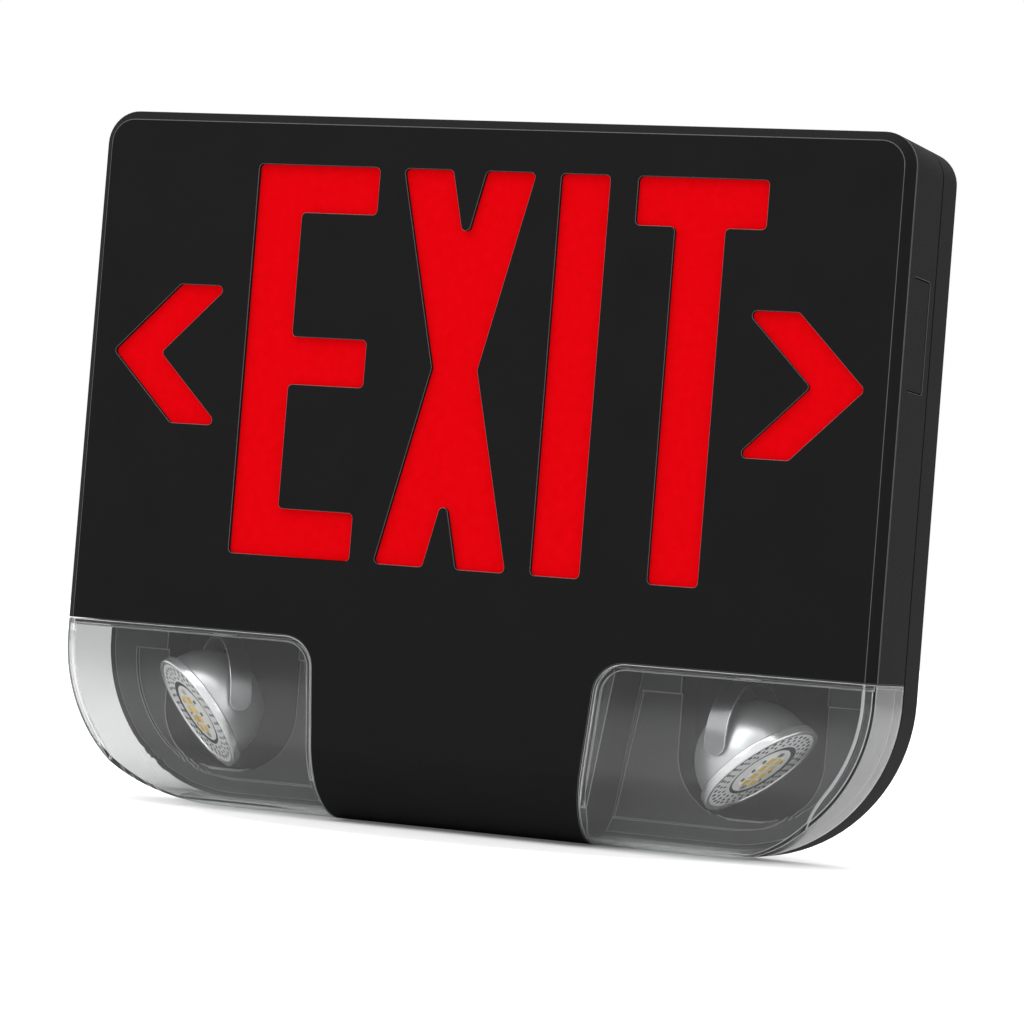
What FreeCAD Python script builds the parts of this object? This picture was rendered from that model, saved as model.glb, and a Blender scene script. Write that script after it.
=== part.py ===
import FreeCAD, Part
import Sketcher
import math
import os
from types import SimpleNamespace

# An emergency exit light: a black moulded case with a stencilled EXIT face and
# two arrowheads, and a clear lens at each lower corner with a swivelling lamp
# head behind it.
# The origin is the middle of the wire entry on the wall side of the case. +X is
# to the right as the sign is read, +Y goes into the wall and +Z is up. Sizes
# called "out" are measured from the wall towards the reader, along -Y.

DRIVING_SIZES = {
    # case
    "case_width": 345.0,
    "case_height": 281.0,
    "case_depth": 60.0,
    "base_depth": 19.2,
    "parting_gap": 0.8,
    "top_corner": 13.5,
    "bottom_corner": 65.5,
    "bevel": 3.8,
    "underside_round": 30.0,
    "cover_wall": 2.2,
    "base_wall": 2.5,
    "lip_height": 3.0,
    "lip_wall": 2.0,
    "slip_gap": 0.1,
    "seat_gap": 0.3,
    "seam_width": 0.6,
    "seam_depth": 0.4,
    # legend
    "letter_height": 157.3,
    "letter_rise": 103.3,
    "letter_left": -100.8,
    "letter_width": 53.4,
    "letter_stem": 20.5,
    "letter_arm": 19.1,
    "letter_gap": 10.5,
    "last_gap": 11.7,
    "cross_width": 56.6,
    "cross_stroke": 21.1,
    "cross_notch": 30.7,
    "cross_waist": 19.4,
    "letter_corner": 2.0,
    "arrow_tip": 160.0,
    "arrow_stroke": 21.6,
    "arrow_height": 56.5,
    "arrow_rise": 79.0,
    "panel_thickness": 2.0,
    "panel_margin": 8.0,
    "panel_side_margin": 7.5,
    "panel_corner": 3.0,
    # light tray behind the legend
    "tray_wall": 1.5,
    "tray_clearance": 2.4,
    "tray_rim": 1.0,
    "strip_length": 292.0,
    "strip_margin": 7.0,
    "strip_thickness": 1.2,
    "led_width": 3.0,
    "led_height": 1.4,
    "led_depth": 2.8,
    # lenses
    "lens_height": 72.3,
    "lens_edge_top": 60.8,
    "lens_edge_bottom": 55.0,
    "lens_corner": 13.0,
    "lens_wall": 2.2,
    "lens_skirt": 6.0,
    # lamp trays
    "shelf_thickness": 1.6,
    "shelf_setback": 6.5,
    "plate_thickness": 4.0,
    "plate_step": 2.0,
    "step_top": 10.5,
    "step_side": 15.0,
    "step_bottom": 10.4,
    "step_left_top": 67.0,
    "step_left_bottom": 58.6,
    "well_clearance": 1.3,
    "well_corner": 25.0,
    "well_wall": 1.8,
    # lamp heads
    "lamp_shift": 3.35,
    "lamp_back_gap": 0.8,
    "lamp_front_gap": 0.1,
    "shell_wall": 1.4,
    "shell_set": 7.9,
    "shell_front": 10.2,
    "face_set": 12.2,
    "ring_wall": 2.2,
    "ring_length": 3.8,
    "ring_lip": 0.6,
    "ring_edge": 0.7,
    "face_thickness": 1.6,
    "hub_margin": 11.5,
    "hub_length": 17.0,
    "outer_hole_margin": 2.1,
    "middle_hole_margin": 4.3,
    "inner_hole_margin": 6.5,
    "outer_hole_radius": 0.75,
    "inner_hole_radius": 0.6,
    "pocket_margin": 8.8,
    "pocket_shift": 0.8,
    "pocket_depth": 1.2,
    "pocket_gap": 1.5,
    "board_lift": 0.2,
    "chip_length": 3.2,
    "chip_width": 2.6,
    "chip_height": 0.8,
    "chip_pitch_along": 4.4,
    "chip_pitch_across": 4.2,
    "strap_gap": 0.4,
    "strap_thickness": 1.2,
    "strap_width": 9.0,
    "stud_radius": 2.0,
    "stud_reach": 0.8,
    "swivel_radius": 2.5,
    "swivel_nut": 8.0,
    "swivel_nut_height": 3.0,
    "washer_radius": 5.0,
    "washer_thickness": 0.8,
    "swivel_tip": 1.5,
    "notch_radius": 7.0,
    "left_pan": -45.7,
    "left_tilt": 36.6,
    "right_pan": 80.6,
    "right_tilt": 48.7,
    # side cover
    "cover_plate_height": 42.5,
    "cover_plate_back": 7.0,
    "cover_plate_front": 12.0,
    "cover_plate_rise": 65.0,
    "cover_plate_gap": 0.5,
    "cover_plate_flange": 1.5,
    "cover_plate_corner": 1.5,
    "cover_plate_sink": 0.2,
    # wall fixings
    "wire_entry_radius": 11.1,
    "box_screw_circle": 88.9,
    "box_screw_radius": 2.4,
    "gang_spacing": 83.3,
    # charger board
    "board_width": 96.0,
    "board_height": 52.0,
    "board_thickness": 1.6,
    "board_rise": 10.0,
    "post_radius": 3.0,
    "post_height": 6.0,
    "post_inset": 5.0,
    "post_screw_radius": 1.3,
    "post_screw_head": 2.6,
    "core_width": 38.0,
    "core_height": 32.0,
    "core_depth": 14.0,
    "coil_width": 24.0,
    "coil_depth": 24.0,
    "coil_height": 20.0,
    "core_centre": 24.0,
    "relay_width": 19.0,
    "relay_height": 15.5,
    "relay_depth": 15.0,
    "relay_centre": -12.0,
    "terminal_width": 16.0,
    "terminal_height": 24.0,
    "terminal_depth": 11.0,
    "terminal_centre": -36.0,
    # test button and status light
    "button_radius": 4.0,
    "button_out": 14.0,
    "button_place": -12.0,
    "button_flange": 1.2,
    "button_flange_height": 1.0,
    "button_recess": 0.4,
    "button_travel": 1.2,
    "switch_width": 12.0,
    "switch_height": 8.0,
    "switch_wall": 1.5,
    "plunger_radius": 1.5,
    "plunger_show": 1.6,
    "status_radius": 2.5,
    "status_place": 12.0,
    "status_length": 9.0,
    # battery
    "cell_radius": 13.0,
    "cell_length": 50.0,
    "battery_left": -96.0,
    "battery_bottom": 40.0,
    "clip_width": 12.0,
    "clip_thickness": 0.9,
    "clip_foot": 9.0,
    "clip_screw_radius": 1.6,
    "clip_screw_head": 3.0,
    "clip_screw_head_height": 1.8,
    "clip_screw_length": 6.0,
}

LED_COUNT = 14
CELL_COUNT = 3
CHIP_ROWS = 4
OUTER_HOLES = 36
MIDDLE_HOLES = 30
INNER_HOLES = 26

# Room past a surface that a cutting block reaches, so that it cuts cleanly.
SPARE = 5.0


class Dim:
    """A number together with the sheet formula that it comes from."""

    def __init__(self, text, value):
        self.text = text
        self.value = value

    def joined(self, other, sign, value):
        return Dim("(%s %s %s)" % (self.text, sign, dim(other).text), value)

    def __add__(self, other):
        return self.joined(other, "+", self.value + dim(other).value)

    def __sub__(self, other):
        return self.joined(other, "-", self.value - dim(other).value)

    def __mul__(self, other):
        return self.joined(other, "*", self.value * dim(other).value)

    def __truediv__(self, other):
        return self.joined(other, "/", self.value / dim(other).value)

    def __radd__(self, other):
        return dim(other) + self

    def __rsub__(self, other):
        return dim(other) - self

    def __rmul__(self, other):
        return dim(other) * self

    def __neg__(self):
        return Dim("(0 - %s)" % self.text, -self.value)


def dim(number):
    """Give a plain number the same form as a size from the sheet."""
    if isinstance(number, Dim):
        return number
    return Dim("(%r)" % float(number), float(number))


document = FreeCAD.newDocument("exit_light")
sheet = document.addObject("Spreadsheet::Sheet", "Sizes")
for row, (alias, number) in enumerate(DRIVING_SIZES.items(), start=1):
    sheet.set("A%d" % row, alias)
    sheet.set("B%d" % row, repr(number))
    sheet.setAlias("B%d" % row, alias)
document.recompute()

S = SimpleNamespace(**{
    alias: Dim("Sizes." + alias, number) for alias, number in DRIVING_SIZES.items()})
nodes = []


def node(obj, label):
    """Record an object as a finished sub-part under its own name."""
    obj.Label = label
    nodes.append(obj)
    return obj


def bind(obj, prop, size):
    obj.setExpression(prop, dim(size).text)


def place(obj, x=0, y=0, z=0, axis=(0, 0, 1), angle=0):
    """Put an object at x, y, z, turned about an axis by an angle in degrees."""
    obj.setExpression("Placement", pose_text(x, y, z, axis, angle))


def pose_text(x, y, z, axis=(0, 0, 1), angle=0):
    place_words = (dim(x).text, dim(y).text, dim(z).text) + tuple(axis) + (dim(angle).text,)
    return ("create(<<placement>>; create(<<vector>>; %s; %s; %s); "
            "create(<<rotation>>; create(<<vector>>; %d; %d; %d); %s))" % place_words)


def new_body(name):
    return document.addObject("PartDesign::Body", name)


def new_sketch(body, name, plane, offset):
    """Start a sketch on one of the body's own planes, moved along its normal."""
    sketch = body.newObject("Sketcher::SketchObject", name)
    origin_plane = [f for f in body.Origin.OriginFeatures if f.Role == plane][0]
    sketch.AttachmentSupport = [(origin_plane, "")]
    sketch.MapMode = "FlatFace"
    bind(sketch, "AttachmentOffset.Base.z", offset)
    return sketch


def pin_point(sketch, geometry, point, x, y):
    """Fix a point of a sketch at x, y from the sketch's origin."""
    first = sketch.addConstraint(
        Sketcher.Constraint("DistanceX", -1, 1, geometry, point, dim(x).value))
    sketch.setExpression("Constraints[%d]" % first, dim(x).text)
    second = sketch.addConstraint(
        Sketcher.Constraint("DistanceY", -1, 1, geometry, point, dim(y).value))
    sketch.setExpression("Constraints[%d]" % second, dim(y).text)


def fix_radius(sketch, geometry, radius):
    index = sketch.addConstraint(Sketcher.Constraint("Radius", geometry, dim(radius).value))
    sketch.setExpression("Constraints[%d]" % index, dim(radius).text)


def corner_round(before, corner, after, radius):
    """Work out where a corner's arc starts and ends, its centre and its turn."""
    to_before = (before - corner).normalize()
    to_after = (after - corner).normalize()
    half = to_before.getAngle(to_after) / 2
    reach = radius / math.tan(half)
    middle = (to_before + to_after).normalize()
    centre = corner + middle * (radius / math.sin(half))
    left_turn = to_before.cross(to_after).z < 0
    return corner + to_before * reach, corner + to_after * reach, centre, left_turn


def add_loop(sketch, corners):
    """Draw a closed outline through corners (x, y) or (x, y, radius)."""
    count = len(corners)
    points = [FreeCAD.Vector(dim(c[0]).value, dim(c[1]).value, 0) for c in corners]
    radii = [dim(c[2]) if len(c) > 2 else None for c in corners]
    rounds = {}
    for i, radius in enumerate(radii):
        if radius is not None:
            rounds[i] = corner_round(points[i - 1], points[i], points[(i + 1) % count],
                                     radius.value)
    lines = []
    for i in range(count):
        follower = (i + 1) % count
        start = rounds[i][1] if i in rounds else points[i]
        end = rounds[follower][0] if follower in rounds else points[follower]
        lines.append(sketch.addGeometry(Part.LineSegment(start, end), False))
    for i, (x, y, *rest) in enumerate(corners):
        before, after = lines[i - 1], lines[i]
        if i not in rounds:
            sketch.addConstraint(Sketcher.Constraint("Coincident", before, 2, after, 1))
            pin_point(sketch, after, 1, x, y)
            continue
        start, end, centre, left_turn = rounds[i]
        circle = Part.Circle(centre, FreeCAD.Vector(0, 0, 1), radii[i].value)
        first, last = (start, end) if left_turn else (end, start)
        angles = [math.atan2(p.y - centre.y, p.x - centre.x) for p in (first, last)]
        arc = sketch.addGeometry(Part.ArcOfCircle(circle, angles[0], angles[1]), False)
        corner_point = sketch.addGeometry(Part.Point(points[i]), True)
        head, tail = (1, 2) if left_turn else (2, 1)
        sketch.addConstraint([
            Sketcher.Constraint("Tangent", before, 2, arc, head),
            Sketcher.Constraint("Tangent", after, 1, arc, tail),
            Sketcher.Constraint("PointOnObject", corner_point, 1, before),
            Sketcher.Constraint("PointOnObject", corner_point, 1, after)])
        fix_radius(sketch, arc, rest[0])
        pin_point(sketch, corner_point, 1, x, y)


def add_circle(sketch, x, y, radius):
    centre = FreeCAD.Vector(dim(x).value, dim(y).value, 0)
    circle = Part.Circle(centre, FreeCAD.Vector(0, 0, 1), dim(radius).value)
    geometry = sketch.addGeometry(circle, False)
    fix_radius(sketch, geometry, radius)
    pin_point(sketch, geometry, 3, x, y)


def outline_sketch(body, name, out, *loops):
    """A sketch in the plane of the face, at a distance out from the wall."""
    sketch = new_sketch(body, name, "XZ_Plane", out)
    for corners in loops:
        add_loop(sketch, corners)
    return sketch


def circle_sketch(body, name, plane, offset, *circles):
    sketch = new_sketch(body, name, plane, offset)
    for x, y, radius in circles:
        add_circle(sketch, x, y, radius)
    return sketch


def add_pad(body, sketch, length, backwards=False):
    pad = body.newObject("PartDesign::Pad", sketch.Name + "_pad")
    pad.Profile = sketch
    bind(pad, "Length", length)
    pad.Reversed = backwards
    sketch.Visibility = False
    document.recompute()
    return pad


def add_pocket(body, sketch, length, backwards=False, both_ways=False):
    """Cut a sketch into the body, and make sure that it took something away."""
    before = body.Tip.Shape.Volume
    pocket = body.newObject("PartDesign::Pocket", sketch.Name + "_pocket")
    pocket.Profile = sketch
    bind(pocket, "Length", length)
    pocket.Reversed = backwards
    if both_ways:
        pocket.SideType = "Symmetric"
    document.recompute()
    if not pocket.Shape.Volume < before:
        raise RuntimeError("%s cuts nothing" % pocket.Name)
    return pocket


def add_revolution(body, sketch):
    turned = body.newObject("PartDesign::Revolution", sketch.Name + "_turned")
    turned.Profile = sketch
    turned.ReferenceAxis = (sketch, ["V_Axis"])
    turned.Angle = 360.0
    document.recompute()
    return turned


def add_ring_of(body, feature, sketch, count):
    """Repeat a feature evenly round the normal of its sketch's origin."""
    pattern = body.newObject("PartDesign::PolarPattern", feature.Name + "_ring")
    pattern.Originals = [feature]
    pattern.Axis = (sketch, ["N_Axis"])
    pattern.Angle = 360.0
    pattern.Occurrences = count
    body.Tip = pattern
    document.recompute()
    return pattern


def box(name, low, high):
    """A block from its lowest to its highest corner."""
    block = document.addObject("Part::Box", name)
    for prop, a, b in zip(("Length", "Width", "Height"), low, high):
        bind(block, prop, dim(b) - a)
    place(block, *low)
    return block


def cylinder(name, radius, length, x=0, y=0, z=0, axis=(0, 0, 1), angle=0):
    rod = document.addObject("Part::Cylinder", name)
    bind(rod, "Radius", radius)
    bind(rod, "Height", length)
    place(rod, x, y, z, axis, angle)
    return rod


def sphere(name, radius, y=0):
    ball = document.addObject("Part::Sphere", name)
    bind(ball, "Radius", radius)
    place(ball, 0, y, 0)
    return ball


def cut(name, base, tool):
    result = document.addObject("Part::Cut", name)
    result.Base = base
    result.Tool = tool
    return result


def fuse(name, *pieces):
    result = document.addObject("Part::MultiFuse", name)
    result.Shapes = list(pieces)
    return result


def common(name, *pieces):
    result = document.addObject("Part::MultiCommon", name)
    result.Shapes = list(pieces)
    return result


def group(name, pieces):
    """Identical pieces that stay separate solids under one name."""
    result = document.addObject("Part::Compound", name)
    result.Links = list(pieces)
    return result


def mirrored(name, source):
    twin = document.addObject("Part::Mirroring", name)
    twin.Source = source
    twin.Normal = FreeCAD.Vector(1, 0, 0)
    return twin


# Places that several pieces share.
half_width = S.case_width / 2
half_height = S.case_height / 2
base_front = S.base_depth
cover_back = base_front + S.parting_gap
lip_front = base_front + S.lip_height
lens_top = S.lens_height - half_height
letter_bottom = S.letter_rise - half_height
shelf_under = lens_top - S.seat_gap - S.shelf_thickness

# The lamp head just turns in the room between the lens and the wall side: its
# ring comes within the named gaps of both.
lamp_room = (S.case_depth - S.lens_wall - S.base_wall - S.lamp_back_gap
             - S.lamp_front_gap)
face_reach = S.face_set + S.ring_lip
ring_radius = (lamp_room - face_reach * face_reach / lamp_room) / 2
lamp_sweep = lamp_room - ring_radius
lamp_out = S.base_wall + S.lamp_back_gap + ring_radius
lamp_pitch = (S.lens_edge_top + half_width) / 2 - S.lamp_shift
shell_radius = ring_radius - S.ring_wall
strap_radius = shell_radius + S.strap_gap + S.strap_thickness
pivot_z = shelf_under - S.washer_thickness - S.slip_gap - strap_radius
pocket_radius = shell_radius - S.pocket_margin


def lens_edge(z):
    """The lens's inner edge leans: its distance from the middle at height z."""
    lean = (S.lens_edge_top - S.lens_edge_bottom) / S.lens_height
    return S.lens_edge_bottom + lean * (z + half_height)


def case_corners(inset):
    x = half_width - inset
    return [(-x, half_height - inset, S.top_corner - inset),
            (x, half_height - inset, S.top_corner - inset),
            (x, inset - half_height, S.bottom_corner - inset),
            (-x, inset - half_height, S.bottom_corner - inset)]


def cover_corners(inset):
    """The front cover's outline: the case without its two lens corners."""
    x = half_width - inset
    ledge = lens_top + inset
    floor = inset - half_height
    right = [(x, half_height - inset, S.top_corner - inset),
             (x, ledge),
             (lens_edge(ledge) - inset, ledge, S.lens_corner + inset),
             (lens_edge(floor) - inset, floor)]
    left = [(-corner[0], *corner[1:]) for corner in reversed(right)]
    return right + left


def lens_corners(outer_inset, inner_inset):
    """The right lens's outline, drawn in from its outer and inner edges."""
    x = half_width - outer_inset
    top = lens_top - S.seat_gap - inner_inset
    floor = outer_inset - half_height
    edge = S.seat_gap + inner_inset
    return [(lens_edge(top) + edge, top, S.lens_corner - edge),
            (x, top),
            (x, floor, S.bottom_corner - outer_inset),
            (lens_edge(floor) + edge, floor)]


def on_case_edge(point, inset):
    """True for a point on the case's outline, its underside apart."""
    x = half_width.value - inset
    z = half_height.value - inset
    top = S.top_corner.value - inset
    bottom = S.bottom_corner.value - inset
    upper_arc = math.hypot(abs(point.x) - x + top, point.z - z + top)
    lower_arc = math.hypot(abs(point.x) - x + bottom, point.z + z - bottom)
    tolerance = 0.01
    return (abs(abs(point.x) - x) < tolerance or abs(point.z - z) < tolerance
            or (abs(upper_arc - top) < tolerance and point.z > 0)
            or (abs(lower_arc - bottom) < tolerance and point.z < 0))


def bevel_front(body, out, inset, size):
    """Chamfer the front edge of a block along the case's outline."""
    names = []
    for number, edge in enumerate(body.Tip.Shape.Edges, start=1):
        middle = edge.valueAt((edge.FirstParameter + edge.LastParameter) / 2)
        flat = abs(edge.BoundBox.YMin - edge.BoundBox.YMax) < 1e-4
        in_front = abs(middle.y + dim(out).value) < 1e-4
        if flat and in_front and on_case_edge(middle, dim(inset).value):
            names.append("Edge%d" % number)
    chamfer = body.newObject("PartDesign::Chamfer", body.Name + "_bevel")
    chamfer.Base = (body.Tip if body.Tip != chamfer else chamfer.BaseFeature, names)
    bind(chamfer, "Size", size)
    body.Tip = chamfer
    document.recompute()


def round_underside(body, inset):
    """Round the lower front edge; inner skins share the outer skin's centre."""
    front = inset - S.case_depth
    floor = inset - half_height
    radius = S.underside_round - inset
    sketch = new_sketch(body, body.Name + "_underside", "YZ_Plane", 0)
    add_loop(sketch, [(front, floor + radius + SPARE),
                      (front, floor, radius),
                      (front + radius + SPARE, floor),
                      (front + radius + SPARE, floor - SPARE),
                      (front - SPARE, floor - SPARE),
                      (front - SPARE, floor + radius + SPARE)])
    add_pocket(body, sketch, S.case_width * 2, both_ways=True)


def case_block(name, corners, inset, back, front, bevel):
    """A block of the case between two depths, with bevel and rounded underside."""
    body = new_body(name)
    add_pad(body, outline_sketch(body, name + "_outline", back, corners), front - back)
    if bevel is not None:
        bevel_front(body, front, inset, bevel)
    round_underside(body, inset)
    return body


def inner_bevel(wall):
    """The bevel of an inner skin that leaves the wall equally thick all round."""
    return S.bevel - wall * (2 - math.sqrt(2))


def letter_e(left):
    stem = left + S.letter_stem
    right = left + S.letter_width
    top = letter_bottom + S.letter_height
    middle = letter_bottom + S.letter_height / 2
    half = S.letter_arm / 2
    return [(left, letter_bottom), (right, letter_bottom),
            (right, letter_bottom + S.letter_arm), (stem, letter_bottom + S.letter_arm),
            (stem, middle - half), (right, middle - half),
            (right, middle + half), (stem, middle + half),
            (stem, top - S.letter_arm), (right, top - S.letter_arm),
            (right, top), (left, top)]


def letter_x(left):
    right = left + S.cross_width
    centre = left + S.cross_width / 2
    top = letter_bottom + S.letter_height
    middle = letter_bottom + S.letter_height / 2
    half = S.cross_waist / 2
    return [(left, letter_bottom), (left + S.cross_stroke, letter_bottom),
            (centre, letter_bottom + S.cross_notch),
            (right - S.cross_stroke, letter_bottom), (right, letter_bottom),
            (centre + half, middle),
            (right, top), (right - S.cross_stroke, top),
            (centre, top - S.cross_notch),
            (left + S.cross_stroke, top), (left, top),
            (centre - half, middle)]


def letter_i(left):
    right = left + S.letter_stem
    top = letter_bottom + S.letter_height
    return [(left, letter_bottom), (right, letter_bottom), (right, top), (left, top)]


def letter_t(left):
    right = left + S.letter_width
    top = letter_bottom + S.letter_height
    stem_left = left + (S.letter_width - S.letter_stem) / 2
    stem_right = stem_left + S.letter_stem
    shoulder = top - S.letter_arm
    return [(stem_left, letter_bottom), (stem_right, letter_bottom),
            (stem_right, shoulder), (right, shoulder), (right, top), (left, top),
            (left, shoulder), (stem_left, shoulder)]


def arrowhead(side):
    """An arrowhead that points away from the middle of the sign."""
    middle = letter_bottom + S.arrow_rise
    half = S.arrow_height / 2
    tip = S.arrow_tip
    corners = [(tip, middle), (tip - half, middle + half),
               (tip - half - S.arrow_stroke, middle + half),
               (tip - S.arrow_stroke, middle),
               (tip - half - S.arrow_stroke, middle - half), (tip - half, middle - half)]
    return [(side * x, z) for x, z in corners]


def legend_outlines():
    cross_left = S.letter_left + S.letter_width + S.letter_gap
    i_left = cross_left + S.cross_width + S.letter_gap
    t_left = i_left + S.letter_stem + S.last_gap
    return {"letter_e": letter_e(S.letter_left), "letter_x": letter_x(cross_left),
            "letter_i": letter_i(i_left), "letter_t": letter_t(t_left),
            "left_arrow": arrowhead(-1), "right_arrow": arrowhead(1)}


def cut_seam(body):
    """The fine line between the bevelled face and the sides of the cover."""
    inner = half_width - S.seam_depth
    outer = half_width + SPARE
    low = lens_top - SPARE
    high = half_height - S.seam_depth
    round_by = S.top_corner - S.seam_depth
    sketch = outline_sketch(body, "seam", S.case_depth - S.bevel - S.seam_depth, [
        (-outer, low), (-inner, low), (-inner, high, round_by), (inner, high, round_by),
        (inner, low), (outer, low), (outer, half_height + SPARE),
        (-outer, half_height + SPARE)])
    add_pocket(body, sketch, S.seam_width)


def side_window(grow):
    """The opening in the right side for the side cover, in the side's own plane."""
    front = S.cover_plate_front - S.case_depth
    back = -(cover_back + S.cover_plate_back)
    low = S.cover_plate_rise - S.cover_plate_height / 2
    high = S.cover_plate_rise + S.cover_plate_height / 2
    corner = S.cover_plate_corner + grow
    return [(front - grow, low - grow, corner), (back + grow, low - grow, corner),
            (back + grow, high + grow, corner), (front - grow, high + grow, corner)]


def make_front_cover():
    body = case_block("cover_block", cover_corners(dim(0)), dim(0), cover_back,
                      S.case_depth, S.bevel)
    for name, corners in legend_outlines().items():
        rounded = [(x, z, S.letter_corner) for x, z in corners]
        sketch = outline_sketch(body, name, S.case_depth, rounded)
        add_pocket(body, sketch, S.cover_wall * 2)
    cut_seam(body)
    window = new_sketch(body, "side_window", "YZ_Plane", half_width)
    add_loop(window, side_window(S.cover_plate_gap))
    add_pocket(body, window, S.cover_wall * 2)
    notch = new_sketch(body, "swivel_notch", "XY_Plane", lens_top - S.cover_wall)
    reach = -(lamp_out + S.notch_radius)
    for side in (-1, 1):
        low = side * lamp_pitch - S.notch_radius
        high = side * lamp_pitch + S.notch_radius
        add_loop(notch, [(low, reach), (high, reach), (high, SPARE - cover_back),
                         (low, SPARE - cover_back)])
    add_pocket(body, notch, S.cover_wall * 3, backwards=True)
    core = case_block("cover_core", cover_corners(S.cover_wall), S.cover_wall,
                      cover_back - SPARE, S.case_depth - S.cover_wall,
                      inner_bevel(S.cover_wall))
    node(cut("cover_shell", body, core), "front_cover")


def lip_notches():
    """Gaps in the lip where the walls of the cover and the lamp trays cross it."""
    reach = S.cover_wall + S.slip_gap + S.lip_wall + S.seat_gap
    low = shelf_under - S.seat_gap
    high = lens_top + S.cover_wall + S.seat_gap
    floor = -half_height
    near = lens_edge(floor) - S.cover_wall - S.seat_gap
    far = S.step_left_top + S.seat_gap
    notches = []
    for side in (-1, 1):
        outer = side * (half_width + SPARE)
        notches.append([(side * (half_width - reach), low), (outer, low), (outer, high),
                        (side * (half_width - reach), high)])
        notches.append([(side * near, floor - SPARE), (side * far, floor - SPARE),
                        (side * far, floor + reach), (side * near, floor + reach)])
    return notches


def make_base_housing():
    body = new_body("base_housing")
    add_pad(body, outline_sketch(body, "base_outline", 0, case_corners(dim(0))), base_front)
    lip_inset = S.cover_wall + S.slip_gap
    lip_root = base_front - S.lip_height
    lip = outline_sketch(body, "base_lip", lip_root, case_corners(lip_inset))
    add_pad(body, lip, lip_front - lip_root)
    mouth = outline_sketch(body, "base_mouth", lip_front, case_corners(lip_inset + S.lip_wall))
    add_pocket(body, mouth, lip_front - lip_root + S.lip_height)
    hollow = outline_sketch(body, "base_hollow", lip_root, case_corners(S.base_wall))
    add_pocket(body, hollow, lip_root - S.base_wall)
    add_pocket(body, outline_sketch(body, "lip_notches", lip_front, *lip_notches()),
               S.lip_height)
    posts = circle_sketch(body, "board_posts", "XZ_Plane", S.base_wall,
                          *[(x, z, S.post_radius) for x, z in board_post_places()])
    add_pad(body, posts, S.post_height)
    post_holes = circle_sketch(body, "post_holes", "XZ_Plane", S.base_wall + S.post_height,
                               *[(x, z, S.post_screw_radius) for x, z in board_post_places()])
    add_pocket(body, post_holes, S.post_height)
    clip_holes = circle_sketch(body, "clip_posts", "XZ_Plane", S.base_wall,
                               *[(x, z, S.post_radius) for x, z in clip_screw_places()])
    add_pad(body, clip_holes, S.post_height)
    clip_bores = circle_sketch(body, "clip_bores", "XZ_Plane", S.base_wall + S.post_height,
                               *[(x, z, S.clip_screw_radius) for x, z in clip_screw_places()])
    add_pocket(body, clip_bores, S.clip_screw_length)
    screw_reach = S.box_screw_circle / 2 / math.sqrt(2)
    fixings = [(dim(0), dim(0), S.wire_entry_radius)]
    fixings += [(a * screw_reach, b * screw_reach, S.box_screw_radius)
                for a in (-1, 1) for b in (-1, 1)]
    fixings += [(dim(0), a * S.gang_spacing / 2, S.box_screw_radius) for a in (-1, 1)]
    holes = circle_sketch(body, "wall_fixings", "XZ_Plane", S.base_wall, *fixings)
    add_pocket(body, holes, S.base_wall)
    underside = circle_sketch(
        body, "underside_holes", "XY_Plane", -half_height,
        (S.button_place, -S.button_out, S.button_radius + S.slip_gap),
        (S.status_place, -S.button_out, S.status_radius))
    add_pocket(body, underside, S.cover_wall + S.lip_wall + S.slip_gap * 2, backwards=True)
    node(body, "base_housing")


def make_lenses():
    wall = S.lens_wall
    block = case_block("lens_block", lens_corners(dim(0), dim(0)), dim(0), cover_back,
                       S.case_depth, S.bevel)
    core = case_block("lens_core", lens_corners(wall, wall), wall, cover_back - SPARE,
                      S.case_depth - wall, inner_bevel(wall))
    relief = case_block("lens_relief", lens_corners(wall, dim(-SPARE)), wall,
                        cover_back - SPARE, S.case_depth - S.lens_skirt, None)
    right = node(cut("lens_shell", cut("lens_cup", block, core), relief), "right_lens")
    node(mirrored("lens_twin", right), "left_lens")


def make_legend_panel():
    low, high = legend_span()
    x = half_width - S.panel_side_margin
    body = new_body("legend_panel")
    back = S.case_depth - S.cover_wall - S.panel_thickness
    corners = [(-x, low, S.panel_corner), (x, low, S.panel_corner),
               (x, high, S.panel_corner), (-x, high, S.panel_corner)]
    add_pad(body, outline_sketch(body, "legend_outline", back, corners), S.panel_thickness)
    node(body, "legend_panel")


def legend_span():
    low = letter_bottom - S.panel_margin
    return low, letter_bottom + S.letter_height + S.panel_margin


def battery_front():
    return S.base_wall + S.cell_radius * 2 + S.clip_thickness


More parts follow.
